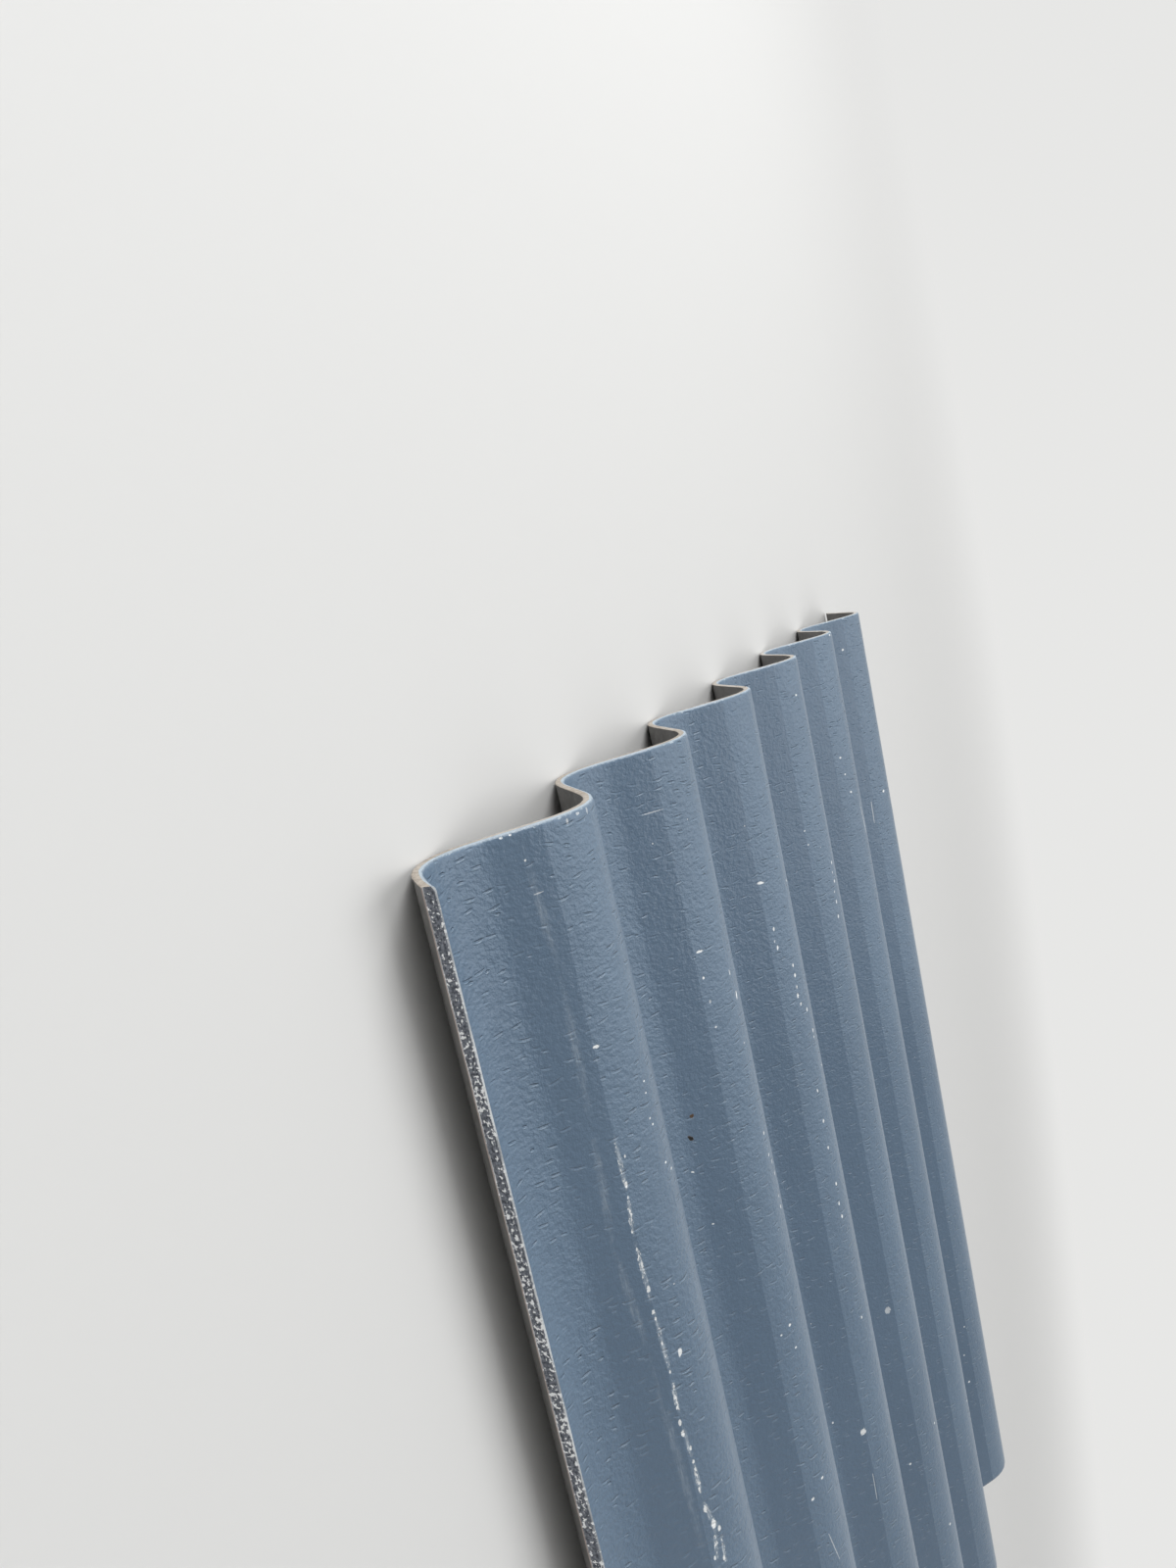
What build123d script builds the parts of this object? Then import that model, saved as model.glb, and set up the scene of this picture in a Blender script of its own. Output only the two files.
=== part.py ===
from build123d import *
import os
from math import atan2, cos, degrees, hypot, radians, sin, sqrt

# Wave of the sheet, all sizes in millimetres. Depth and bends are those of the wall's middle line, and
# the bend gap is the level clearance between the circles of a crest's bend and the next trough's bend.
PITCH = 177.0
WAVE_DEPTH = 51.0
WALL = 6.0
BEND_GAP = 8.5
CREST_COUNT = 6

# Cut size of the sheet: the runs go from the first trough and the last crest out to the side edges
SHEET_LENGTH = 1220.0
LEFT_RUN = 47.0
RIGHT_RUN = 76.5

QUARTER_TURN = 90.0
HALF_PITCH = PITCH / 2
BEND_RADIUS = (HALF_PITCH - BEND_GAP) / 2
FACE_OFFSET = WALL / 2
SHEET_WIDTH = LEFT_RUN + (2 * CREST_COUNT - 1) * HALF_PITCH + RIGHT_RUN
FIRST_TROUGH_X = LEFT_RUN - SHEET_WIDTH / 2
TROUGH_CENTRE_Z = FACE_OFFSET + BEND_RADIUS
CREST_CENTRE_Z = FACE_OFFSET + WAVE_DEPTH - BEND_RADIUS
OVERALL_HEIGHT = WAVE_DEPTH + WALL


def flank_angle():
    """Slope in degrees of the straight flank that touches a crest arc and a trough arc."""
    radii = 2 * BEND_RADIUS
    drop = WAVE_DEPTH - radii
    flank = sqrt(hypot(HALF_PITCH, drop) ** 2 - radii**2)
    return degrees(atan2(drop, HALF_PITCH) + atan2(radii, flank))


SLOPE = flank_angle()


def on_arc(centre, radius, angle):
    """Point of a circle at an angle in degrees."""
    return (centre[0] + radius * cos(radians(angle)), centre[1] + radius * sin(radians(angle)))


def falling_flank(crest_x, crest_radius, trough_radius):
    """Edges of one face from the top of a crest down to the bottom of the trough on its right."""
    crest = (crest_x, CREST_CENTRE_Z)
    trough = (crest_x + HALF_PITCH, TROUGH_CENTRE_Z)
    leave = QUARTER_TURN - SLOPE
    arrive = -QUARTER_TURN - SLOPE
    return [
        CenterArc(crest, crest_radius, QUARTER_TURN, -SLOPE),
        Line(on_arc(crest, crest_radius, leave), on_arc(trough, trough_radius, arrive)),
        CenterArc(trough, trough_radius, arrive, SLOPE),
    ]


def rising_flank(trough_x, crest_radius, trough_radius):
    """Edges of one face from the bottom of a trough up to the top of the crest on its right."""
    trough = (trough_x, TROUGH_CENTRE_Z)
    crest = (trough_x + HALF_PITCH, CREST_CENTRE_Z)
    leave = SLOPE - QUARTER_TURN
    arrive = QUARTER_TURN + SLOPE
    return [
        CenterArc(trough, trough_radius, -QUARTER_TURN, SLOPE),
        Line(on_arc(trough, trough_radius, leave), on_arc(crest, crest_radius, arrive)),
        CenterArc(crest, crest_radius, arrive, -SLOPE),
    ]


def wave_face(crest_radius, trough_radius):
    """Edges of one face of the whole wave, from the crest cut away at the left to the last trough."""
    edges = falling_flank(FIRST_TROUGH_X - HALF_PITCH, crest_radius, trough_radius)
    for index in range(CREST_COUNT):
        trough_x = FIRST_TROUGH_X + index * PITCH
        edges += rising_flank(trough_x, crest_radius, trough_radius)
        edges += falling_flank(trough_x + HALF_PITCH, crest_radius, trough_radius)
    return edges


def sheet_section():
    """Section of the sheet, cut square at both side edges."""
    upper = wave_face(BEND_RADIUS + FACE_OFFSET, BEND_RADIUS - FACE_OFFSET)
    lower = wave_face(BEND_RADIUS - FACE_OFFSET, BEND_RADIUS + FACE_OFFSET)
    closing = [
        Line(upper[0] @ 0, lower[0] @ 0),
        Line(upper[-1] @ 1, lower[-1] @ 1),
    ]
    band = make_face(Curve() + upper + lower + closing)
    return band & Pos(0, OVERALL_HEIGHT / 2) * Rectangle(SHEET_WIDTH, 2 * OVERALL_HEIGHT)


os.makedirs("parts", exist_ok=True)

corrugated_sheet = extrude(Plane.XZ * sheet_section(), amount=SHEET_LENGTH / 2, both=True)
corrugated_sheet.label = "corrugated_sheet"
export_step(corrugated_sheet, "parts/corrugated_sheet.step")
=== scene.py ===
"""Looks of one corrugated fibre-cement roofing sheet, lying flat on a pale studio floor."""

import logging
import math
import random
from dataclasses import dataclass, field
from enum import Enum
from typing import Any, ClassVar, Mapping, Sequence, TypeAlias

import bmesh
import bpy
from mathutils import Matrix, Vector, noise


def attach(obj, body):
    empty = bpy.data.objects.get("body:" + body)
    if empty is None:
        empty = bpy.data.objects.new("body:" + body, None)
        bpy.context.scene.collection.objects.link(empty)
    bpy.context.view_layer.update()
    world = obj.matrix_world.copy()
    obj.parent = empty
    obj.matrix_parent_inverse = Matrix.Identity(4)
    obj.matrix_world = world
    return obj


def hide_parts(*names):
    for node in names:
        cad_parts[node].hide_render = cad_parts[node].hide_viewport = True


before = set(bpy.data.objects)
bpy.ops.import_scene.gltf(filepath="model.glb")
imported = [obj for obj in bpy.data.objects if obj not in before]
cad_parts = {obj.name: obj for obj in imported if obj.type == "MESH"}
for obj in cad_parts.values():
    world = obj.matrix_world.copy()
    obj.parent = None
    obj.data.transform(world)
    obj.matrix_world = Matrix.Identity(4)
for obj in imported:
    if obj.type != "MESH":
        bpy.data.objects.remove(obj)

log = logging.getLogger("sheet")

Pair = tuple[float, float]
Triple = tuple[float, float, float]
Colour = Triple
Value: TypeAlias = "Term | float"

MM = 0.001
CAD_NODE = "corrugated_sheet"
PIECE_NAME = "corrugated_sheet_dressed"
FLAT_MAP = "flat"
CHIP_LAYER = "chip_place"
RUB_LAYER = "rub_place"
STRAY_CHIPS = 60
STRAY_SEED = 11


class Face(Enum):
    """The four kinds of surface on the sheet, with the material slot of each."""

    WEATHER = 0
    BACK = 1
    CUT_END = 2
    TRIMMED_SIDE = 3


class MarkKind(Enum):
    """What a mark in the coating is, with the tone that the shader reads: pale above zero, dark below."""

    CHIP = 1.0
    SCUFF = 0.55
    HAZE = 0.26
    SPECK = -1.0
    RUST_SPECK = -0.5


class Term:
    """One output socket of a material, on which Python's arithmetic signs work."""

    def __init__(self, bench: "Bench", socket: bpy.types.NodeSocket) -> None:
        """Wraps a socket.

        Args:
            bench: The material that the socket belongs to.
            socket: The output socket.
        """
        self.bench = bench
        self.socket = socket

    def output(self, name: str) -> "Term":
        """Another output of the same node."""
        return Term(self.bench, self.socket.node.outputs[name])

    def _math(self, operation: str, *values: Value) -> "Term":
        """Adds a Math node."""
        return self.bench.node("ShaderNodeMath", {"operation": operation}, dict(enumerate(values)))

    def __add__(self, other: Value) -> "Term":
        """Sum."""
        return self._math("ADD", self, other)

    def __radd__(self, other: Value) -> "Term":
        """Sum with a number on the left."""
        return self._math("ADD", other, self)

    def __sub__(self, other: Value) -> "Term":
        """Difference."""
        return self._math("SUBTRACT", self, other)

    def __rsub__(self, other: Value) -> "Term":
        """Difference from a number."""
        return self._math("SUBTRACT", other, self)

    def __mul__(self, other: Value) -> "Term":
        """Product."""
        return self._math("MULTIPLY", self, other)

    def __rmul__(self, other: Value) -> "Term":
        """Product with a number on the left."""
        return self._math("MULTIPLY", other, self)

    def __truediv__(self, other: Value) -> "Term":
        """Quotient."""
        return self._math("DIVIDE", self, other)

    def __pow__(self, other: Value) -> "Term":
        """Power."""
        return self._math("POWER", self, other)

    def size(self) -> "Term":
        """Absolute value."""
        return self._math("ABSOLUTE", self)

    def root(self) -> "Term":
        """Square root."""
        return self._math("SQRT", self)

    def fold(self) -> "Term":
        """A value that runs from 0 to 1 and back again, over and over."""
        return self._math("PINGPONG", self, 1.0)

    def lesser(self, other: Value) -> "Term":
        """The smaller of two values."""
        return self._math("MINIMUM", self, other)

    def soft_lesser(self, other: Value, blur: Value) -> "Term":
        """The smaller of two values, with a rounded passage from one to the other."""
        return self._math("SMOOTH_MIN", self, other, blur)

    def greater(self, other: Value) -> "Term":
        """The larger of two values."""
        return self._math("MAXIMUM", self, other)

    def rise(self, low: float, high: float) -> "Term":
        """A smooth step.

        Args:
            low: The value below which it is 0.
            high: The value above which it is 1.

        Returns:
            The step from 0 to 1.
        """
        return self.bench.node(
            "ShaderNodeMapRange",
            {"interpolation_type": "SMOOTHSTEP"},
            {"Value": self, "From Min": low, "From Max": high},
            "Result",
        )

    def fall(self, low: float, high: float) -> "Term":
        """A smooth step down: 1 below low and 0 above high."""
        return 1 - self.rise(low, high)


class Bench:
    """One material in the making."""

    def __init__(self, name: str) -> None:
        """Starts an empty material.

        Args:
            name: The material's name.
        """
        self.material = bpy.data.materials.new(name)
        self.material.use_nodes = True
        self.tree = self.material.node_tree
        self.tree.nodes.clear()

    def _add(
        self, kind: str, settings: Mapping[str, Any], sockets: Mapping[str | int, Any]
    ) -> bpy.types.Node:
        """Adds a node, sets it up and joins it to what feeds it.

        Args:
            kind: The node's type.
            settings: The node's own settings.
            sockets: The value, or the term that feeds it, of each socket by name or number.

        Returns:
            The node.
        """
        made = self.tree.nodes.new(kind)
        for name, value in settings.items():
            setattr(made, name, value)
        for key, value in sockets.items():
            if isinstance(value, Term):
                self.tree.links.new(value.socket, made.inputs[key])
            else:
                made.inputs[key].default_value = value
        return made

    def node(
        self,
        kind: str,
        settings: Mapping[str, Any] | None = None,
        sockets: Mapping[str | int, Any] | None = None,
        output: str | int = 0,
    ) -> Term:
        """Adds a node and takes one of its outputs.

        Args:
            kind: The node's type.
            settings: The node's own settings.
            sockets: The value, or the term that feeds it, of each socket by name or number.
            output: The output that is wanted.

        Returns:
            The wanted output as a term.
        """
        return Term(self, self._add(kind, settings or {}, sockets or {}).outputs[output])

    def flat_place(self) -> Term:
        """The sheet's developed place: metres across from the left edge, metres down from the upper end."""
        return self.node("ShaderNodeUVMap", {"uv_map": FLAT_MAP})

    def split(self, vector: Term) -> tuple[Term, Term, Term]:
        """The three parts of a vector."""
        first = self.node("ShaderNodeSeparateXYZ", None, {0: vector})
        return first, first.output("Y"), first.output("Z")

    def join(self, x: Value, y: Value, z: Value = 0.0) -> Term:
        """A vector from its three parts."""
        return self.node("ShaderNodeCombineXYZ", None, {0: x, 1: y, 2: z})

    def grain(self, place: Term, scale: float, detail: float = 2.0, roughness: float = 0.6) -> Term:
        """Noise from 0 to 1.

        Args:
            place: The place that the noise is read at.
            scale: Waves in a metre.
            detail: How many finer layers it has.
            roughness: How strong the finer layers are.

        Returns:
            The noise as a value.
        """
        return self.node(
            "ShaderNodeTexNoise",
            {"noise_dimensions": "3D"},
            {"Vector": place, "Scale": scale, "Detail": detail, "Roughness": roughness},
            "Fac",
        )

    def blend(self, share: Value, first: Term | Colour, second: Term | Colour) -> Term:
        """One colour laid over another.

        Args:
            share: How much of the second colour shows, from 0 to 1.
            first: The colour below.
            second: The colour above.

        Returns:
            The mixed colour.
        """
        return self.node(
            "ShaderNodeMix",
            {"data_type": "RGBA", "blend_type": "MIX", "clamp_factor": True},
            {0: share, 6: paint(first), 7: paint(second)},
            2,
        )

    def stretched(self, place: Term, across: float, down: float) -> Term:
        """The place with its two directions scaled.

        Args:
            place: The place.
            across: The scale across the sheet.
            down: The scale down the sheet.

        Returns:
            The scaled place.
        """
        return self.node(
            "ShaderNodeMapping", {"vector_type": "POINT"}, {"Vector": place, "Scale": (across, down, 1.0)}
        )

    def surface(
        self, colour: Term, roughness: Term, relief: Term, **constants: float
    ) -> bpy.types.Material:
        """Ends the material with its shader.

        Args:
            colour: The base colour.
            roughness: The roughness.
            relief: The height of the relief in millimetres.
            **constants: Other sockets of the shader, with underscores for spaces.

        Returns:
            The material.
        """
        normal = self.node("ShaderNodeBump", None, {"Strength": 1.0, "Distance": MM, "Height": relief})
        sockets = {"Base Color": colour, "Roughness": roughness, "Normal": normal}
        sockets.update({name.replace("_", " "): value for name, value in constants.items()})
        return self.finish(self.node("ShaderNodeBsdfPrincipled", None, sockets))

    def finish(self, shader: Term) -> bpy.types.Material:
        """The material, with the shader joined to its output."""
        self._add("ShaderNodeOutputMaterial", {}, {"Surface": shader})
        return self.material


def paint(colour: Term | Colour) -> Term | tuple[float, ...]:
    """A colour as a socket takes it: a term as it is, three numbers with full opacity."""
    return colour if isinstance(colour, Term) else (*colour, 1.0)


@dataclass(frozen=True)
class WeatherCoat:
    """The blue-grey coating of the weather face, with the relief the press left, its wear, painted shade on
    its flanks and painted highlights.

    Grains, streaks and crumbs are in waves a metre, and dents are spaced in metres. A crease's place and
    end are shares of a half wave from a flank's middle, and its height is in millimetres, as is left_edge,
    the developed place of the weather face's edge.
    """

    deep: Colour = (0.106, 0.159, 0.226)
    light: Colour = (0.141, 0.208, 0.290)
    chip: Colour = (0.80, 0.82, 0.82)
    speck: Colour = (0.012, 0.011, 0.010)
    rust: Colour = (0.16, 0.085, 0.035)
    # Colour of worn arrises; along both ends it is also a painted highlight.
    arris: Colour = (0.36, 0.43, 0.49)
    # Painted glint: the pale blue of the dents' lower lips, standing in for light caught on them.
    lip_glint: Colour = (0.34, 0.45, 0.56)
    rub: Colour = (0.66, 0.72, 0.76)
    peel_grain: float = 300.0
    fine_grain: float = 900.0
    swell_grain: float = 70.0
    cloud_grain: float = 9.0
    crowd_grain: float = 14.0
    streaks: Pair = (620.0, 75.0)
    crumbs: Pair = (1000.0, 330.0)
    dent_spacing: Pair = (0.013, 0.0075)
    crease_place: float = 0.175
    crease_end: float = 0.45
    crease_height: float = 1.2
    left_edge: float = 2.2

    def make(self, length: float, first_trough: float, half_wave: float) -> bpy.types.Material:
        """Makes the coating.

        Args:
            length: The sheet's length in metres.
            first_trough: Developed metres from the left edge to the first trough.
            half_wave: Developed metres from a trough to the next crest.

        Returns:
            The material.
        """
        bench = Bench("weather_coat")
        place = bench.flat_place()
        across, down, _ = bench.split(place)
        height = ((across - first_trough) / half_wave).fold()
        flank = height.rise(0.30, 0.42) * height.fall(0.66, 0.69)
        peel = bench.grain(place, self.peel_grain)
        fine = bench.grain(place, self.fine_grain)
        swell = bench.grain(bench.stretched(place, 1.0, 0.8), self.swell_grain, roughness=0.5)
        cloud = bench.grain(bench.stretched(place, 1.0, 0.45), self.cloud_grain, 3.0, 0.55)
        chips, tone = self._marks(bench, CHIP_LAYER, bench.stretched(place, 1.0, 0.5), 800.0, 0.72)
        rubs, rub_tone = self._marks(bench, RUB_LAYER, place, 260.0, 0.1)
        pressed = rubs * rub_tone
        streak = bench.grain(bench.stretched(place, *self.streaks), 1.0, 3.0, 0.65)
        rubbed = pressed * (streak.rise(0.42, 0.68) * 0.75 + 0.25)
        # Darker on the steep flanks: painted shade. The mottle from cloud and peel is the coat's own tone.
        mottle_and_flank_shade = (cloud.rise(0.3, 0.7) * 0.4 + peel * 0.6) * (1 - flank * 0.5)
        colour = bench.blend(mottle_and_flank_shade, self.deep, self.light)
        dents, lips_and_glint = self._dents(bench, across, down, 1 - flank * 0.6)
        # Painted glint on the dents' lips.
        colour = bench.blend(lips_and_glint * 0.38, colour, self.lip_glint)
        colour = bench.blend(rubbed * 0.75, colour, self.rub)
        pale = (chips * tone.greater(0.0)).greater(self._crumbs(bench, place, pressed))
        dark = chips * (0.0 - tone).greater(0.0)
        colour = bench.blend(pale, colour, self.chip)
        colour = bench.blend((dark * 3.0).lesser(1.0), colour, bench.blend(dark, self.rust, self.speck))
        # Wear on the arrises, and a painted highlight along the ends.
        wear_and_highlight = self._arris_wear_and_highlight(bench, across, down, place, length)
        colour = bench.blend(wear_and_highlight, colour, self.arris)
        bare = pale.greater(wear_and_highlight * 0.5)
        roughness = 0.28 + fine * 0.08 + cloud * 0.06 + bare * 0.4 - flank * 0.16
        calm = 1 - flank * 0.4
        even = ((peel - 0.5) * 0.88 + (swell - 0.5) * 0.85) * calm
        relief = even - dents * 0.8 + lips_and_glint * 0.3 + fine * 0.06 - bare * 0.12 + self._creases(height)
        return bench.surface(colour, roughness, relief, Specular_IOR_Level=0.5, IOR=1.48)

    def _crumbs(self, bench: Bench, place: Term, pressed: Term) -> Term:
        """Small bare crumbs, in clusters, where the coating is rubbed hardest.

        Args:
            bench: The material.
            place: The place on the sheet.
            pressed: How hard it is rubbed, from 0 to 1.

        Returns:
            The crumbs from 0 to 1.
        """
        cluster = bench.grain(place, 30.0)
        crumb = bench.grain(bench.stretched(place, *self.crumbs), 1.0)
        return pressed.rise(0.28, 0.45) * (crumb + cluster * 0.45).rise(0.775, 0.84)

    def _creases(self, height: Term) -> Term:
        """The faint crease where each flank meets the crest above it and the trough below it.

        Args:
            height: The share of the way from a trough to a crest.

        Returns:
            The relief in millimetres.
        """
        from_middle = (height - 0.5).size()
        side = (height - 0.5) / from_middle.greater(0.001)
        below = from_middle / self.crease_place
        fade = self.crease_end - self.crease_place
        above = ((self.crease_end - from_middle).greater(0.0) / fade) ** 2.0
        softness = height.fall(0.4, 0.6) * 0.7 + 0.02
        return below.soft_lesser(above, softness) * side * self.crease_height

    def _dents(self, bench: Bench, across: Term, down: Term, share: Term) -> tuple[Term, Term]:
        """Short narrow dents from the press, lying across the waves, each with a raised lower lip that
        carries a painted glint.

        Args:
            bench: The material.
            across: Metres across the sheet.
            down: Metres down the sheet.
            share: How strongly they show, from 0 to 1.

        Returns:
            The dents, 1 at their bottom, and their lips, where the glint is painted.
        """
        cell = bench.join(across * (1 / self.dent_spacing[0]), down * (1 / self.dent_spacing[1]))
        points = bench.node(
            "ShaderNodeTexVoronoi",
            {"voronoi_dimensions": "2D", "feature": "F1"},
            {"Vector": cell, "Scale": 1.0, "Randomness": 1.0},
            "Distance",
        )
        chance, reach, lean = bench.split(points.output("Color"))
        offset = bench.node(
            "ShaderNodeVectorMath", {"operation": "SUBTRACT"}, {0: cell, 1: points.output("Position")}
        )
        aside, along, _ = bench.split(offset)
        along = along + aside * (lean - 0.5) * 0.8 + aside * aside * (reach - 0.5) * 1.6
        aside = aside / (0.14 + reach * 0.32)
        crowd = bench.grain(bench.join(across, down, 3.0), self.crowd_grain)
        share = share * chance.rise(0.15, 0.75) * crowd.rise(0.30, 0.52)
        groove = along / 0.10
        lip_glint = (along - 0.17) / 0.09
        groove = (aside * aside + groove * groove).root().fall(0.3, 1.0)
        lip_glint = (aside * aside + lip_glint * lip_glint).root().fall(0.3, 1.0)
        return groove * share, lip_glint * share

    @staticmethod
    def _marks(bench: Bench, layer: str, place: Term, scale: float, inner: float) -> tuple[Term, Term]:
        """The chips or rubs that the mesh carries, each face knowing its nearest one.

        Args:
            bench: The material.
            layer: The layer that holds each corner's place in its nearest mark.
            place: The place on the sheet.
            scale: Waves in a metre of the ragged outline.
            inner: Where a mark begins to fade, with its middle at 0 and its rim at 1.

        Returns:
            The marks from 0 to 1, and their tone.
        """
        mark = bench.node("ShaderNodeAttribute", {"attribute_name": layer}, None, "Vector")
        aside, along, tone = bench.split(mark)
        ragged = bench.grain(place, scale)
        near = (aside * aside + along * along).root() + (ragged - 0.5) * 1.1
        return near.fall(inner, 0.98), tone

    def _arris_wear_and_highlight(self, bench: Bench, across: Term, down: Term, place: Term, length: float) -> Term:
        """The thin pale line along the arrises: nibbled wear of the coating, and a painted highlight in a
        soft band along both ends.

        Args:
            bench: The material.
            across: Metres across the sheet.
            down: Metres down the sheet.
            place: The place on the sheet.
            length: The sheet's length in metres.

        Returns:
            The wear and painted highlight from 0 to 1.
        """
        nibble = bench.grain(place, 260.0, 3.0, 0.7)
        patch = bench.grain(place, 22.0)
        from_end = down.lesser(length - down) / MM
        # Painted highlight: a soft pale band along both coated ends, where light catches the rounded arris.
        soft = from_end.fall(0.2, 1.7) * (0.2 + patch * 0.5)
        crumbs = (from_end - (nibble.rise(0.50, 0.74) * 2.2)).fall(0.0, 0.5)
        from_side = across / MM - self.left_edge
        low = down.rise(0.16, 0.36)
        side = (from_side - nibble.rise(0.42, 0.7) * (0.9 + 2.0 * patch) * (0.4 + 0.6 * low)).fall(0.0, 0.6)
        return soft.greater(crumbs).greater(side * (0.6 + 0.4 * low))


@dataclass(frozen=True)
class RawCement:
    """Bare fibre cement, as it shows at the cut ends and on the back.

    coarse is its grain in waves a metre, and depth the height of that grain in millimetres.
    """

    name: str
    body: Colour
    shade: Colour
    pale: Colour
    coarse: float = 300.0
    depth: float = 0.25

    def make(self) -> bpy.types.Material:
        """Makes the bare cement.

        Returns:
            The material.
        """
        bench = Bench(self.name)
        place = bench.node("ShaderNodeTexCoord", None, None, "Object")
        x, _, _ = bench.split(place)
        grit = bench.grain(place, self.coarse, 3.0, 0.65)
        dust = bench.grain(place, self.coarse * 4)
        stain = bench.grain(place, 18.0, 3.0)
        colour = bench.blend(grit.rise(0.35, 0.68), self.shade, self.body)
        colour = bench.blend(stain.rise(0.42, 0.66) * 0.5 + x.rise(-0.25, 0.25) * 0.5, colour, self.pale)
        colour = bench.blend(dust.rise(0.60, 0.72) * 0.35, colour, self.pale)
        return bench.surface(colour, 0.82 + grit * 0.12, grit * self.depth + dust * 0.05)


@dataclass(frozen=True)
class TrimmedSide:
    """The trimmed long edge: dark, rough and speckled with pale cement and fibres.

    Its lower arris is broken pale from edge_from, and bare from tan_from, in millimetres below the
    weather face.
    """

    dark: Colour = (0.046, 0.053, 0.068)
    grey: Colour = (0.24, 0.26, 0.30)
    pale: Colour = (0.93, 0.94, 0.95)
    tan: Colour = (0.44, 0.36, 0.32)
    line: Colour = (0.86, 0.89, 0.91)
    edge_from: float = 5.2
    tan_from: float = 5.5

    def make(self) -> bpy.types.Material:
        """Makes the trimmed edge's finish.

        Returns:
            The material.
        """
        bench = Bench("trimmed_side")
        place = bench.flat_place()
        through, down, _ = bench.split(place)
        depth = through / MM
        grit = bench.grain(bench.stretched(place, 1.0, 0.7), 700.0, 3.0, 0.7)
        fleck = bench.grain(bench.stretched(place, 1.0, 0.75), 560.0)
        clump = bench.grain(bench.stretched(place, 1.0, 0.5), 150.0)
        patch = bench.grain(bench.stretched(place, 0.2, 1.0), 16.0)
        colour = bench.blend(grit.rise(0.34, 0.68), self.dark, self.grey)
        least = 0.64 - clump.rise(0.38, 0.62) * 0.10 - patch.rise(0.35, 0.7) * 0.04
        least = least - down.rise(0.15, 0.5) * 0.03
        colour = bench.blend((fleck - least).rise(0.0, 0.025), colour, self.pale)
        ragged = (grit - 0.5) * 0.8
        under = (depth - self.tan_from + ragged).rise(0.0, 0.3)
        edge = (depth - self.edge_from + ragged).rise(0.0, 0.2) * (1 - under)
        colour = bench.blend(edge * patch.rise(0.3, 0.6) * 0.8, colour, self.pale)
        colour = bench.blend(under, colour, self.tan)
        upper = (depth - 0.10 - patch * 0.4 + (grit - 0.5) * 1.3).fall(0.0, 0.30)
        colour = bench.blend(upper * (0.35 + patch.rise(0.35, 0.6) * 0.65), colour, self.line)
        return bench.surface(colour, 0.8 + grit * 0.15, grit * 0.5 + fleck * 0.4)


@dataclass(frozen=True)
class Mark:
    """One mark in the coating, in millimetres on the flattened sheet.

    across and down are its middle, from the left edge and from the upper end. length and width are its
    whole size, and turn is how far its length leans from straight across the waves, in degrees.
    """

    OVERLAP: ClassVar[float] = 1.2

    kind: MarkKind
    across: float
    down: float
    length: float
    width: float
    turn: float = 0.0

    @classmethod
    def line(cls, kind: MarkKind, start: Pair, end: Pair, width: float) -> "Mark":
        """A long thin mark between two places, a little over long so that it joins the next one.

        Args:
            kind: What it is.
            start: One end, across and down.
            end: The other end.
            width: Its width.

        Returns:
            The mark.
        """
        run, fall = end[0] - start[0], end[1] - start[1]
        middle = ((start[0] + end[0]) / 2, (start[1] + end[1]) / 2)
        length = math.hypot(run, fall) * cls.OVERLAP
        return cls(kind, *middle, length, width, math.degrees(math.atan2(fall, run)))

    def local(self, across: float, down: float) -> Pair:
        """A place seen from the mark.

        Args:
            across: Millimetres across.
            down: Millimetres down.

        Returns:
            The place along the mark's length and width, where its rim is at distance 1.
        """
        lean = math.radians(self.turn)
        aside = (across - self.across) * math.cos(lean) + (down - self.down) * math.sin(lean)
        along = (down - self.down) * math.cos(lean) - (across - self.across) * math.sin(lean)
        return aside / (self.length / 2), along / (self.width / 2)

    def gap(self, place: Pair) -> float:
        """How far a place is from the mark.

        Args:
            place: Millimetres across and down.

        Returns:
            Millimetres to the mark's rim, 0 inside it.
        """
        distance = math.hypot(*self.local(*place))
        if distance < 1:
            return 0.0
        return (distance - 1) / distance * math.hypot(place[0] - self.across, place[1] - self.down)


class MarkMap:
    """The marks of one layer, sorted into squares so that the nearest one is found quickly.

    SQUARE is the squares' side, and REACH how far from its rim a mark still counts, in millimetres.
    """

    SQUARE: ClassVar[float] = 16.0
    REACH: ClassVar[float] = 12.0

    def __init__(self, marks: Sequence[Mark]) -> None:
        """Sorts the marks into the squares that they come near.

        Args:
            marks: The marks.
        """
        self.squares: dict[tuple[int, int], list[Mark]] = {}
        for mark in marks:
            lean = math.radians(mark.turn)
            steps = max(1, math.ceil(mark.length / self.SQUARE))
            touched = set()
            for step in range(steps + 1):
                along = (step / steps - 0.5) * mark.length
                place = (mark.across + along * math.cos(lean), mark.down + along * math.sin(lean))
                square = self._square(place)
                touched |= {(square[0] + i, square[1] + j) for i in (-1, 0, 1) for j in (-1, 0, 1)}
            for square in touched:
                self.squares.setdefault(square, []).append(mark)

    def _square(self, place: Pair) -> tuple[int, int]:
        """The square that a place is in."""
        return math.floor(place[0] / self.SQUARE), math.floor(place[1] / self.SQUARE)

    def nearest(self, place: Pair) -> Mark | None:
        """The mark nearest to a place.

        Args:
            place: Millimetres across and down.

        Returns:
            The mark, or None where no mark comes near.
        """
        near = self.squares.get(self._square(place))
        if not near:
            return None
        found = min(near, key=lambda mark: mark.gap(place))
        return found if found.gap(place) < self.REACH else None


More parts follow.
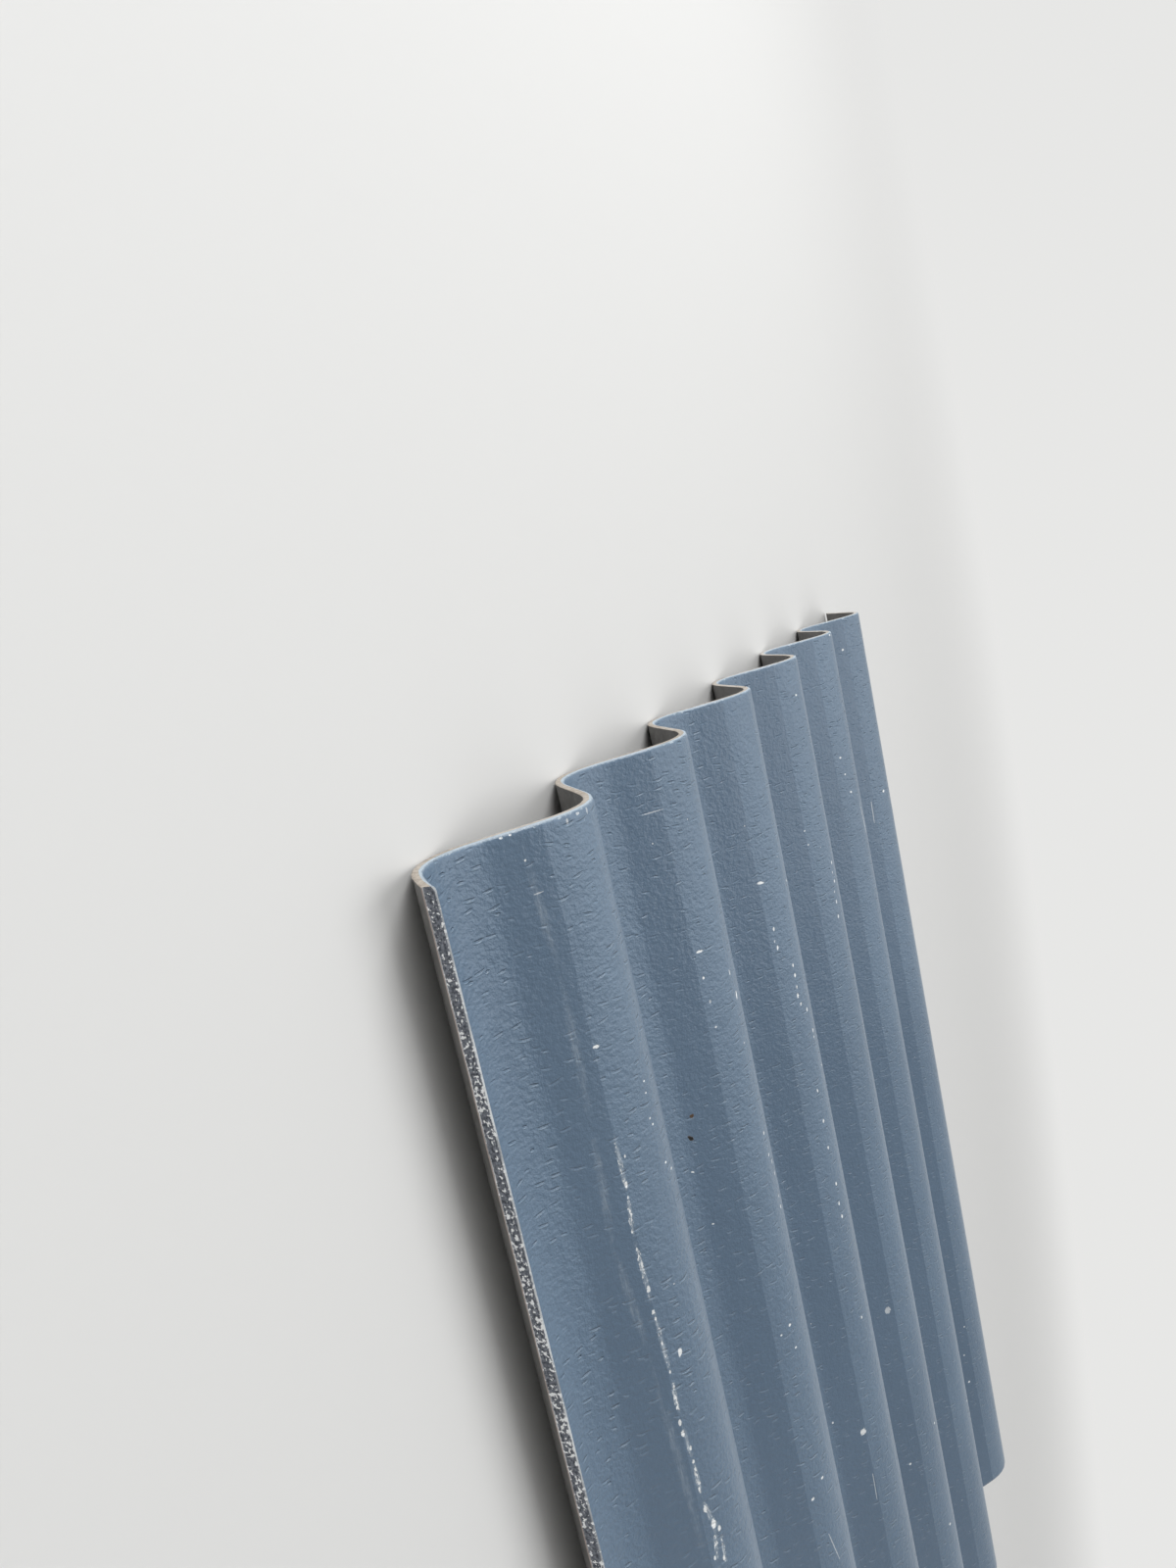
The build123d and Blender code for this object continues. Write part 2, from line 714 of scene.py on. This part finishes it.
@dataclass(frozen=True)
class WaveLine:
    """The middle line of the sheet's wall across its waves, in metres, flattened or as it lies.

    softness is how far the wave goes from arcs and straight flanks, at 0, towards a sine, at 1. STRETCH
    is more than the developed width is over the width, and SLACK more than a face is off the middle line.
    """

    STRETCH: ClassVar[float] = 1.3
    SLACK: ClassVar[float] = 0.03
    HALVINGS: ClassVar[int] = 48

    pitch: float = 0.177
    depth: float = 0.051
    wall: float = 0.006
    bend_radius: float = 0.040
    crest_count: int = 6
    left_run: float = 0.047
    right_run: float = 0.0765
    softness: float = 0.6

    @property
    def width(self) -> float:
        """The sheet's width."""
        return self.left_run + (self.crest_count - 0.5) * self.pitch + self.right_run

    @property
    def flank(self) -> Pair:
        """The flanks of the wave.

        Returns:
            Their steepest slope in radians, and the length of their straight part.
        """
        gap = self.pitch / 2
        rise = self.depth - 2 * self.bend_radius
        span = math.hypot(gap, rise)
        slope = math.asin(2 * self.bend_radius / span) + math.atan2(rise, gap)
        return slope, math.sqrt(span * span - 4 * self.bend_radius**2)

    @property
    def half_wave(self) -> float:
        """Developed length from a trough to the next crest."""
        slope, straight = self.flank
        return straight + 2 * self.bend_radius * slope

    @property
    def first_trough(self) -> float:
        """Where the first trough is.

        Returns:
            The developed length from the left edge to it.
        """
        slope, _ = self.flank
        straight = (self.left_run - self.bend_radius * math.sin(slope)) / math.cos(slope)
        return self.bend_radius * slope + straight

    def middle(self, across: float) -> Triple:
        """The middle line at a developed distance from the left edge's middle line.

        Args:
            across: The developed distance.

        Returns:
            The place along X, the height, and the slope in radians.
        """
        slope, straight = self.flank
        bend = self.bend_radius
        arc = bend * slope
        number = math.floor((across - self.first_trough) / self.half_wave)
        run = across - self.first_trough - number * self.half_wave
        if run < arc:
            turn = run / bend
            x, z = bend * math.sin(turn), bend * (1 - math.cos(turn))
        elif run < arc + straight:
            turn = slope
            x = bend * math.sin(slope) + (run - arc) * math.cos(slope)
            z = bend * (1 - math.cos(slope)) + (run - arc) * math.sin(slope)
        else:
            turn = (self.half_wave - run) / bend
            x = self.pitch / 2 - bend * math.sin(turn)
            z = self.depth - bend * (1 - math.cos(turn))
        phase = 2 * math.pi * x / self.pitch
        z += self.softness * (self.depth / 2 * (1 - math.cos(phase)) - z)
        swing = math.pi * self.depth / self.pitch * math.sin(phase)
        turn = math.atan((1 - self.softness) * math.tan(turn) + self.softness * swing)
        place = self.left_run - self.width / 2 + number * self.pitch / 2 + x
        if number % 2:
            z, turn = self.depth - z, -turn
        return place, self.wall / 2 + z, turn

    def on_face(self, across: float, side: float) -> Triple:
        """A point on one face of the wall.

        Args:
            across: The developed distance of the middle line below or above it.
            side: 1 for the weather face, -1 for the back, and between them inside the wall.

        Returns:
            The place along X, the height, and the slope in radians.
        """
        x, z, turn = self.middle(across)
        half = self.wall / 2 * side
        return x - half * math.sin(turn), z + half * math.cos(turn), turn

    def reach(self, side: float, place: float) -> float:
        """The developed distance at which a face comes to a place along X.

        Args:
            side: The face, as on_face takes it.
            place: The place along X.

        Returns:
            The developed distance, found by halving.
        """
        low = place + self.width / 2 - self.SLACK
        high = (place + self.width / 2) * self.STRETCH + self.SLACK
        for _ in range(self.HALVINGS):
            guess = (low + high) / 2
            if self.on_face(guess, side)[0] < place:
                low = guess
            else:
                high = guess
        return (low + high) / 2


@dataclass
class CorrugatedSheet:
    """The one piece of stock: its mesh, its marks and its finishes.

    Its station layer gives each vertex three shares from 0 to 1: across from the left edge, down from the
    upper end, and through the wall from the back. Lengths are in metres, grains in waves a metre, and
    end_rows are the places of the rows nearest to an end. ROW_DEPTHS are the wall's inner rows in shares
    of the wall. A share within NEAR of 0 or 1 is at an edge, an end is coated above the share COATED_ROWS,
    ROUND_MIDDLE is where the middle of a rounded arris lies, as a share of its radius, and FAR is a place
    outside every mark.
    """

    WALL_ROWS: ClassVar[int] = 5
    ROW_DEPTHS: ClassVar[Pair] = (0.56, 0.76)
    NEAR: ClassVar[float] = 0.001
    COATED_ROWS: ClassVar[float] = 0.8
    ROUND_MIDDLE: ClassVar[float] = 0.29
    ARRIS_GRAIN: ClassVar[float] = 160.0
    SWELL_GRAIN: ClassVar[Pair] = (9.0, 3.2)
    WRINKLE_GRAIN: ClassVar[Pair] = (42.0, 30.0)
    FAR: ClassVar[Triple] = (9.0, 9.0, 0.0)

    line: WaveLine = field(default_factory=WaveLine)
    length: float = 1.220
    columns: int = 160
    rows: int = 180
    end_rows: tuple[float, ...] = (0.0, 0.0026, 0.0052, 0.0095)
    end_round: float = 0.0026
    arris: float = 0.00045
    coat: WeatherCoat = field(default_factory=WeatherCoat)
    end: RawCement = RawCement("cut_end", (0.46, 0.41, 0.35), (0.29, 0.25, 0.21), (0.52, 0.50, 0.47))
    # The back's dark greys are partly its own colour and partly painted shade for the shaded hollows under
    # the crests.
    back: RawCement = RawCement(
        "plain_back_painted_shade", (0.17, 0.165, 0.16), (0.12, 0.117, 0.112), (0.20, 0.195, 0.19), 160.0, 0.12
    )
    side: TrimmedSide = field(default_factory=TrimmedSide)
    chips: tuple[Mark, ...] = ()
    rubs: tuple[Mark, ...] = ()
    mesh: bmesh.types.BMesh = field(init=False)
    station: bmesh.types.BMLayerItem = field(init=False)
    spans: dict[float, Pair] = field(default_factory=dict, init=False)

    def build(self) -> bpy.types.Object:
        """Builds and dresses the sheet.

        Returns:
            The finished piece.
        """
        self.mesh = bmesh.new()
        self.station = self.mesh.verts.layers.float_vector.new("station")
        self._shell()
        self._sort_faces()
        self._lay_flat_map()
        self._place_marks(CHIP_LAYER, MarkMap(self.chips))
        self._place_marks(RUB_LAYER, MarkMap(self.rubs))
        self._bend()
        bmesh.ops.recalc_face_normals(self.mesh, faces=self.mesh.faces[:])
        self.mesh.verts.layers.float_vector.remove(self.station)
        data = bpy.data.meshes.new(PIECE_NAME)
        self.mesh.to_mesh(data)
        self.mesh.free()
        piece = bpy.data.objects.new(PIECE_NAME, data)
        bpy.context.scene.collection.objects.link(piece)
        for material in self._materials():
            data.materials.append(material)
        return piece

    def _materials(self) -> list[bpy.types.Material]:
        """The finishes in the order of Face."""
        coat = self.coat.make(self.length, self.line.first_trough, self.line.half_wave)
        return [coat, self.back.make(), self.end.make(), self.side.make()]

    def _shell(self) -> None:
        """Makes the closed shell flat, each vertex knowing its share across, down and through the wall."""
        bmesh.ops.create_grid(self.mesh, x_segments=self.columns, y_segments=self.rows, size=0.5)
        for vert in self.mesh.verts:
            vert[self.station] = Vector((vert.co.x + 0.5, 0.5 - vert.co.y, 0.0))
        raised = bmesh.ops.extrude_face_region(self.mesh, geom=self.mesh.faces[:])
        for item in raised["geom"]:
            if isinstance(item, bmesh.types.BMVert):
                item[self.station] = item[self.station] + Vector((0.0, 0.0, 1.0))
        walls = [e for e in self.mesh.edges if e.verts[0][self.station].z != e.verts[1][self.station].z]
        bmesh.ops.subdivide_edges(self.mesh, edges=walls, cuts=self.WALL_ROWS - 1, use_grid_fill=True)

    def _rim(self, share: float) -> bool:
        """Whether a share is at either edge."""
        return min(share, 1 - share) < self.NEAR

    def _sort_faces(self) -> None:
        """Gives each face its finish and keeps the arrises crisp."""
        for face in self.mesh.faces:
            middle = sum((v[self.station] for v in face.verts), Vector()) / len(face.verts)
            at_end = self._rim(middle.y)
            if middle.z > 1 - self.NEAR or at_end and middle.z > self.COATED_ROWS:
                kind = Face.WEATHER
            elif middle.z < self.NEAR:
                kind = Face.BACK
            elif at_end:
                kind = Face.CUT_END
            else:
                kind = Face.TRIMMED_SIDE
            face.material_index = kind.value
            face.smooth = True
        for edge in self.mesh.edges:
            edge.smooth = len({f.material_index for f in edge.link_faces}) == 1

    def _flat(self, share: Vector) -> Pair:
        """Developed place in metres of a vertex's shares.

        Args:
            share: The vertex's shares.

        Returns:
            Metres across and metres down, with closer rows near the two ends.
        """
        side = round(2 * share.z - 1, 4)
        if side not in self.spans:
            half = self.line.width / 2
            self.spans[side] = (self.line.reach(side, -half), self.line.reach(side, half))
        first, last = self.spans[side]
        row = round(min(share.y, 1 - share.y) * self.rows)
        closest = len(self.end_rows) - 1
        if row <= closest:
            down = self.end_rows[row]
        else:
            step = (self.length - 2 * self.end_rows[-1]) / (self.rows - 2 * closest)
            down = self.end_rows[-1] + (row - closest) * step
        return first + share.x * (last - first), down if share.y < 0.5 else self.length - down

    def _lay_flat_map(self) -> None:
        """Lays the map of developed places over the faces."""
        layer = self.mesh.loops.layers.uv.new(FLAT_MAP)
        for face in self.mesh.faces:
            for loop in face.loops:
                share = loop.vert[self.station]
                across, down = self._flat(share)
                if face.material_index == Face.TRIMMED_SIDE.value:
                    across = self._depth(share.z, self.arris, self.arris)
                elif face.material_index == Face.CUT_END.value:
                    down = (1 - share.z) * self.line.wall
                elif self._rim(share.y):
                    over = self.end_round * (0.2 if share.z > 1 - self.NEAR else -0.55)
                    down = over if share.y < 0.5 else self.length - over
                loop[layer].uv = (across, down)

    def _place_marks(self, name: str, marks: MarkMap) -> None:
        """Tells each corner of the weather face where it is in the mark nearest to its face.

        Args:
            name: The name of the layer to fill.
            marks: The marks.
        """
        layer = self.mesh.loops.layers.float_vector.new(name)
        far = Vector(self.FAR)
        for face in self.mesh.faces:
            found = None
            if face.material_index == Face.WEATHER.value:
                corners = [self._millimetres(v[self.station]) for v in face.verts]
                middle = tuple(sum(parts) / len(corners) for parts in zip(*corners))
                found = marks.nearest(middle)
            for loop in face.loops:
                if found is None:
                    loop[layer] = far
                    continue
                aside, along = found.local(*self._millimetres(loop.vert[self.station]))
                loop[layer] = Vector((aside, along, found.kind.value))

    def _millimetres(self, share: Vector) -> Pair:
        """Developed place in millimetres of a vertex's shares."""
        across, down = self._flat(share)
        return across / MM, down / MM

    def _bend(self) -> None:
        """Bends the flat shell into its waves, rounds its coated arrises and breaks the others a little."""
        half_width, half_length = self.line.width / 2, self.length / 2
        for vert in self.mesh.verts:
            share = vert[self.station]
            across, down = self._flat(share)
            at_end, at_side = self._rim(share.y), self._rim(share.x)
            coated, plain = share.z > 1 - self.NEAR, share.z < self.NEAR
            rough = abs(self._roll(across, down, (self.ARRIS_GRAIN, self.ARRIS_GRAIN), 5.0))
            broken = self.arris * (0.55 + 0.9 * rough)
            rounded = self.end_round * (0.8 + 0.4 * rough)
            depth = self._depth(share.z, rounded if at_end else broken, broken)
            back = 0.0
            if at_end and coated:
                back = depth = self.ROUND_MIDDLE * rounded
            elif at_end and plain:
                back = broken
            elif not at_side and (coated or plain):
                sunk = self._sunk(across, down, coated)
                depth = sunk if coated else self.line.wall - sunk
            x, z, _ = self.line.on_face(across, 1 - 2 * depth / self.line.wall)
            y = math.copysign(half_length - back, half_length - down) if at_end else half_length - down
            if at_side:
                x = math.copysign(half_width - (broken if coated or plain else 0.0), x)
            vert.co = Vector((max(-half_width, min(half_width, x)), y, z))

    @staticmethod
    def _roll(across: float, down: float, grain: Pair, level: float) -> float:
        """Smooth noise from -1 to 1 at a place of the flattened sheet, different on each level."""
        return noise.noise(Vector((across * grain[0], down * grain[1], level)))

    def _sunk(self, across: float, down: float, coated: bool) -> float:
        """How far the uneven face lies inside the plain one.

        Args:
            across: Metres across the flattened sheet.
            down: Metres down the sheet.
            coated: Whether it is the weather face, which has wrinkles on its long swells.

        Returns:
            The distance in metres.
        """
        swell = self._roll(across, down, self.SWELL_GRAIN, 7.0 if coated else 0.0)
        wrinkle = self._roll(across, down, self.WRINKLE_GRAIN, 11.0) if coated else 0.0
        return (0.26 + 0.14 * swell + 0.10 * wrinkle) * MM

    def _depth(self, share: float, upper: float, lower: float) -> float:
        """How deep a row of the wall lies below the weather face.

        Args:
            share: The row's share through the wall, 1 at the weather face.
            upper: The width of the broken or rounded arris at the weather face.
            lower: The width of the broken arris at the back.

        Returns:
            The depth in metres.
        """
        wall = self.line.wall
        rows = (0.0, upper, *(wall * part for part in self.ROW_DEPTHS), wall - lower, wall)
        return rows[round((1 - share) * self.WALL_ROWS)]


def handling_marks() -> tuple[Mark, ...]:
    """The chips, scuffs and specks that the sheet shows, and stray ones too small to place.

    Singles are as Mark takes them. Dots and dashes are a place and a size, and lines two ends and a width.

    Returns:
        The marks, in millimetres on the flattened sheet.
    """
    chip, scuff, speck, rust = MarkKind.CHIP, MarkKind.SCUFF, MarkKind.SPECK, MarkKind.RUST_SPECK
    singles = (
        (chip, 549.3, 156.9, 8.0, 2.8, 8), (chip, 129.0, 131.6, 4.6, 2.4, 5),
        (chip, 342.5, 147.6, 6.4, 2.2, 4), (chip, 341.2, 166.9, 2.4, 2.4),
        (scuff, 342.7, 185.1, 2.0, 3.2), (chip, 366.8, 173.5, 1.4, 4.4),
        (chip, 370.6, 192.5, 1.8, 7.4, 6), (chip, 544.4, 682.1, 7.4, 7.0),
        (scuff, 749.0, 684.7, 8.0, 9.0), (chip, 342.1, 594.1, 3.2, 2.8),
        (chip, 354.6, 584.0, 3.0, 2.6), (chip, 353.7, 449.9, 3.0, 2.6),
        (chip, 585.3, 167.5, 3.6, 3.2), (speck, 589.0, 164.7, 1.6, 1.4),
        (speck, 582.5, 171.2, 1.4, 1.2), (chip, 1195.9, 223.4, 4.6, 3.6),
        (chip, 1170.2, 37.7, 3.6, 2.8), (speck, 305.6, 274.8, 6.4, 3.0, 50),
        (rust, 309.9, 259.5, 3.6, 3.0), (chip, 301.4, 299.2, 3.2, 1.2, 30),
        (chip, 308.6, 343.4, 3.0, 1.2, 20), (scuff, 150.0, 2.6, 2.8, 2.2),
        (scuff, 142.0, 4.4, 1.6, 3.4), (scuff, 158.3, 3.4, 1.4, 4.6), (chip, 996.7, 2.6, 4.4, 2.6),
        (chip, 102.5, 1.6, 2.2, 1.8), (chip, 105.4, 1.2, 2.4, 1.8), (chip, 107.8, 1.5, 1.6, 1.6),
        (chip, 1166.0, 1055.1, 4.0, 3.2), (chip, 1001.5, 969.4, 3.6, 3.0),
    )
    dots = (
        (112.8, 17.4, 1.5), (324.1, 63.3, 1.3), (757.0, 164.0, 1.9), (758.5, 178.4, 1.9),
        (343.1, 204.6, 2.0), (367.3, 228.3, 1.6), (344.3, 452.9, 2.1), (354.9, 470.0, 2.2),
        (515.2, 656.4, 2.6), (778.1, 34.7, 2.8), (976.5, 135.4, 3.0), (979.2, 155.2, 2.6),
        (983.3, 176.7, 3.0), (741.0, 866.8, 3.1), (779.6, 969.1, 3.2), (786.2, 846.4, 3.0),
        (1173.9, 973.8, 2.6), (1165.7, 1013.5, 2.6), (159.4, 219.9, 2.0), (165.7, 227.8, 2.2),
        (153.5, 188.0, 1.7), (155.0, 192.6, 1.7), (155.1, 172.7, 1.6), (155.7, 165.7, 1.6),
    )
    dashes = (
        (369.3, 301.2, 2.8), (371.0, 314.2, 2.4), (370.2, 319.3, 2.4), (373.5, 326.9, 3.0),
        (374.9, 337.5, 3.2), (373.2, 355.1, 2.6), (372.7, 363.7, 3.0), (553.7, 199.2, 3.2),
        (552.3, 210.0, 2.4), (553.9, 215.9, 3.6), (566.8, 237.2, 3.0), (566.9, 246.2, 3.6),
        (566.5, 256.8, 2.8), (565.6, 264.4, 4.2), (567.4, 272.5, 3.4), (574.6, 281.4, 3.4),
        (578.4, 302.6, 3.6), (577.7, 308.6, 2.6), (585.1, 338.6, 3.4), (588.0, 351.5, 3.4),
        (567.2, 354.0, 3.0), (567.2, 383.0, 3.4), (566.9, 408.3, 3.0), (568.0, 444.3, 3.4),
        (566.9, 462.9, 3.0), (567.5, 475.9, 3.4), (567.7, 577.8, 3.0), (786.8, 206.3, 3.4),
        (784.8, 215.8, 2.4), (785.6, 225.3, 3.4), (781.4, 234.9, 2.4), (781.7, 245.3, 3.6),
        (780.3, 260.2, 3.6), (131.0, 200.0, 2.0), (127.7, 216.5, 3.8), (127.1, 224.3, 2.0),
        (126.4, 232.7, 2.4), (124.8, 245.1, 2.0), (125.3, 256.7, 2.2), (126.2, 266.6, 2.8),
        (126.8, 283.5, 4.2), (126.5, 298.9, 4.0), (126.9, 302.9, 2.6), (127.6, 319.6, 2.2),
        (137.7, 331.2, 5.4), (128.5, 339.1, 2.2), (128.8, 349.3, 2.2), (127.6, 363.3, 2.4),
        (127.3, 373.2, 4.2), (127.6, 380.8, 4.4), (130.4, 392.5, 3.0), (130.3, 402.0, 3.2),
        (130.4, 407.6, 2.4), (130.0, 421.1, 3.0), (130.9, 435.5, 4.6), (134.3, 448.2, 6.4),
        (137.2, 453.8, 3.8), (130.0, 470.1, 3.0), (136.1, 474.2, 3.6),
    )
    lines = (
        ((113.1, 37.0), (118.6, 36.9), 0.9), ((321.4, 42.2), (337.0, 42.7), 0.9),
        ((997.3, 192.3), (1002.7, 244.8), 1.4), ((1172.8, 217.7), (1171.9, 264.3), 1.3),
        ((348.9, 627.1), (356.1, 663.1), 0.9), ((545.7, 722.8), (544.7, 758.4), 1.0),
    )
    made = [Mark(*single) for single in singles]
    made += [Mark(chip, across, down, size, size * 0.85) for across, down, size in dots]
    made += [Mark(chip, across, down, size * 0.6, size * 1.2, 4) for across, down, size in dashes]
    made += [Mark.line(scuff, *ends) for ends in lines]
    chance = random.Random(STRAY_SEED)
    for _ in range(STRAY_CHIPS):
        size = chance.uniform(0.7, 1.5)
        made.append(Mark(chip, chance.uniform(60, 1280), chance.uniform(20, 1200), size, size * 0.8))
    return tuple(made)


def rub_lines() -> tuple[Mark, ...]:
    """Where the coating is rubbed along the first wave: a broad faint band, and a bright chain beside it.

    Returns:
        The rubbed stretches as marks.
    """
    band = (
        (113.4, 14.0), (117.8, 85.0), (115.6, 173.0), (111.5, 250.0),
        (118.0, 320.0), (124.0, 470.0), (131.0, 660.0),
    )
    chain = (
        (127.0, 186.0), (127.2, 222.0), (125.0, 248.0), (126.8, 295.0), (128.6, 345.0), (127.4, 372.0),
        (130.2, 400.0), (130.4, 428.0), (134.6, 450.0), (131.0, 474.0), (131.5, 540.0), (133.0, 660.0),
    )
    branch = ((131.5, 436.0), (137.2, 455.0), (136.2, 480.0), (138.0, 520.0))
    haze, chip = MarkKind.HAZE, MarkKind.CHIP
    made = []
    for kind, width, path in ((haze, 8.0, band), (chip, 4.4, chain), (chip, 4.4, branch)):
        made += [Mark.line(kind, start, end, width) for start, end in zip(path, path[1:])]
    return tuple(made)


@dataclass(frozen=True)
class Lamp:
    """A soft lamp with a rectangular face, in metres, aimed at a place; a radiance of 1 is a white face."""

    name: str
    place: Triple
    aim: Triple
    size: Pair
    radiance: float

    def hang(self) -> None:
        """Hangs the lamp. One that looks straight down stays unturned."""
        light = bpy.data.lights.new(self.name, "AREA")
        light.shape = "RECTANGLE"
        light.size, light.size_y = self.size
        light.energy = math.pi * self.size[0] * self.size[1] * self.radiance
        holder = bpy.data.objects.new(self.name, light)
        holder.location = self.place
        holder.rotation_mode = "QUATERNION"
        look = Vector(self.aim) - Vector(self.place)
        if look.xy.length > MM:
            holder.rotation_quaternion = look.to_track_quat("-Z", "Y")
        bpy.context.scene.collection.objects.link(holder)


@dataclass(frozen=True)
class Studio:
    """The pale floor, the soft lamps and the camera.

    The backdrop is a list of rings, each a radius and a height. The floor's own colour gives way to the
    background's over fade, in metres from the sheet. place and turn are the camera's, and its focal
    length is that of a sensor 36 mm wide.
    """

    SENSOR_WIDTH: ClassVar[float] = 36.0

    floor_radius: float = 5.0
    backdrop: tuple[Pair, ...] = ((6.2, 0.12), (7.2, 0.5), (7.9, 1.2), (8.3, 2.4), (8.4, 6.5))
    floor_colour: Colour = (0.66, 0.66, 0.652)
    background: Colour = (0.80, 0.80, 0.79)
    fade: Pair = (1.2, 3.2)
    fill: float = 0.42
    lamps: tuple[Lamp, ...] = (
        Lamp("sky_panel", (2.2, 0.5, 8.0), (2.2, 0.5, 0.0), (10.4, 6.0), 1.6),
        Lamp("key", (-0.3, 3.3, 1.55), (0.0, 0.2, 0.0), (2.8, 1.4), 7.2),
    )
    place: Triple = (-0.9935, 0.7373, 0.3273)
    turn: tuple[float, ...] = (0.828787, -0.017424, -0.541709, -0.139136)
    focal_length: float = 36.0

    def build(self) -> None:
        """Sets up the whole studio."""
        self._floor()
        self._world()
        for lamp in self.lamps:
            lamp.hang()
        self._camera()
        bpy.context.scene.view_settings.view_transform = "Standard"

    def _floor(self) -> None:
        """The plain pale floor, which turns up into a backdrop and is as pale as paper far away."""
        mesh = bmesh.new()
        bmesh.ops.create_circle(mesh, cap_ends=True, segments=96, radius=self.floor_radius)
        rim = mesh.edges[:]
        for radius, height in self.backdrop:
            grown = bmesh.ops.extrude_edge_only(mesh, edges=rim)["geom"]
            rim = [part for part in grown if isinstance(part, bmesh.types.BMEdge)]
            for vert in (part for part in grown if isinstance(part, bmesh.types.BMVert)):
                vert.co = (vert.co.xy.normalized() * radius).to_3d() + Vector((0.0, 0.0, height))
        bmesh.ops.recalc_face_normals(mesh, faces=mesh.faces[:])
        for part in mesh.faces:
            part.smooth = True
        data = bpy.data.meshes.new("floor")
        mesh.to_mesh(data)
        mesh.free()
        floor = bpy.data.objects.new("floor", data)
        bpy.context.scene.collection.objects.link(floor)
        data.materials.append(self._floor_paint())

    def _floor_paint(self) -> bpy.types.Material:
        """The floor's paint, which camera, gloss and glass see as plain background far from the sheet.

        Returns:
            The material.
        """
        bench = Bench("floor_paint")
        x, y, _ = bench.split(bench.node("ShaderNodeTexCoord", None, None, "Object"))
        away = (x * x + y * y).root().rise(*self.fade)
        path = bench.node("ShaderNodeLightPath", None, None, "Is Camera Ray")
        seen = path.greater(path.output("Is Glossy Ray")).greater(path.output("Is Transmission Ray"))
        matt = bench.node(
            "ShaderNodeBsdfPrincipled", None, {"Base Color": paint(self.floor_colour), "Roughness": 0.9}
        )
        plain = bench.node("ShaderNodeEmission", None, {"Color": paint(self.background), "Strength": 1.0})
        return bench.finish(bench.node("ShaderNodeMixShader", None, {0: away * seen, 1: matt, 2: plain}))

    def _world(self) -> None:
        """A plain even fill."""
        world = bpy.data.worlds.new("studio")
        bpy.context.scene.world = world
        world.use_nodes = True
        back = world.node_tree.nodes["Background"]
        back.inputs["Color"].default_value = paint((1.0, 1.0, 1.0))
        back.inputs["Strength"].default_value = self.fill

    def _camera(self) -> None:
        """The camera, which sees the sheet from the photograph's place."""
        lens = bpy.data.cameras.new("camera")
        lens.sensor_fit = "HORIZONTAL"
        lens.sensor_width = self.SENSOR_WIDTH
        lens.lens = self.focal_length
        lens.clip_start = 0.01
        holder = bpy.data.objects.new("camera", lens)
        holder.location = self.place
        holder.rotation_mode = "QUATERNION"
        holder.rotation_quaternion = self.turn
        bpy.context.scene.collection.objects.link(holder)
        bpy.context.scene.camera = holder


def main() -> None:
    """Builds the sheet and its studio."""
    logging.basicConfig(level=logging.INFO, format="%(message)s")
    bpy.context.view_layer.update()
    sheet = CorrugatedSheet(chips=handling_marks(), rubs=rub_lines())
    piece = sheet.build()
    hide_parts(CAD_NODE)
    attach(piece, "root")
    log.info("%s: %d faces", piece.name, len(piece.data.polygons))
    Studio().build()


if __name__ == "__main__":
    main()
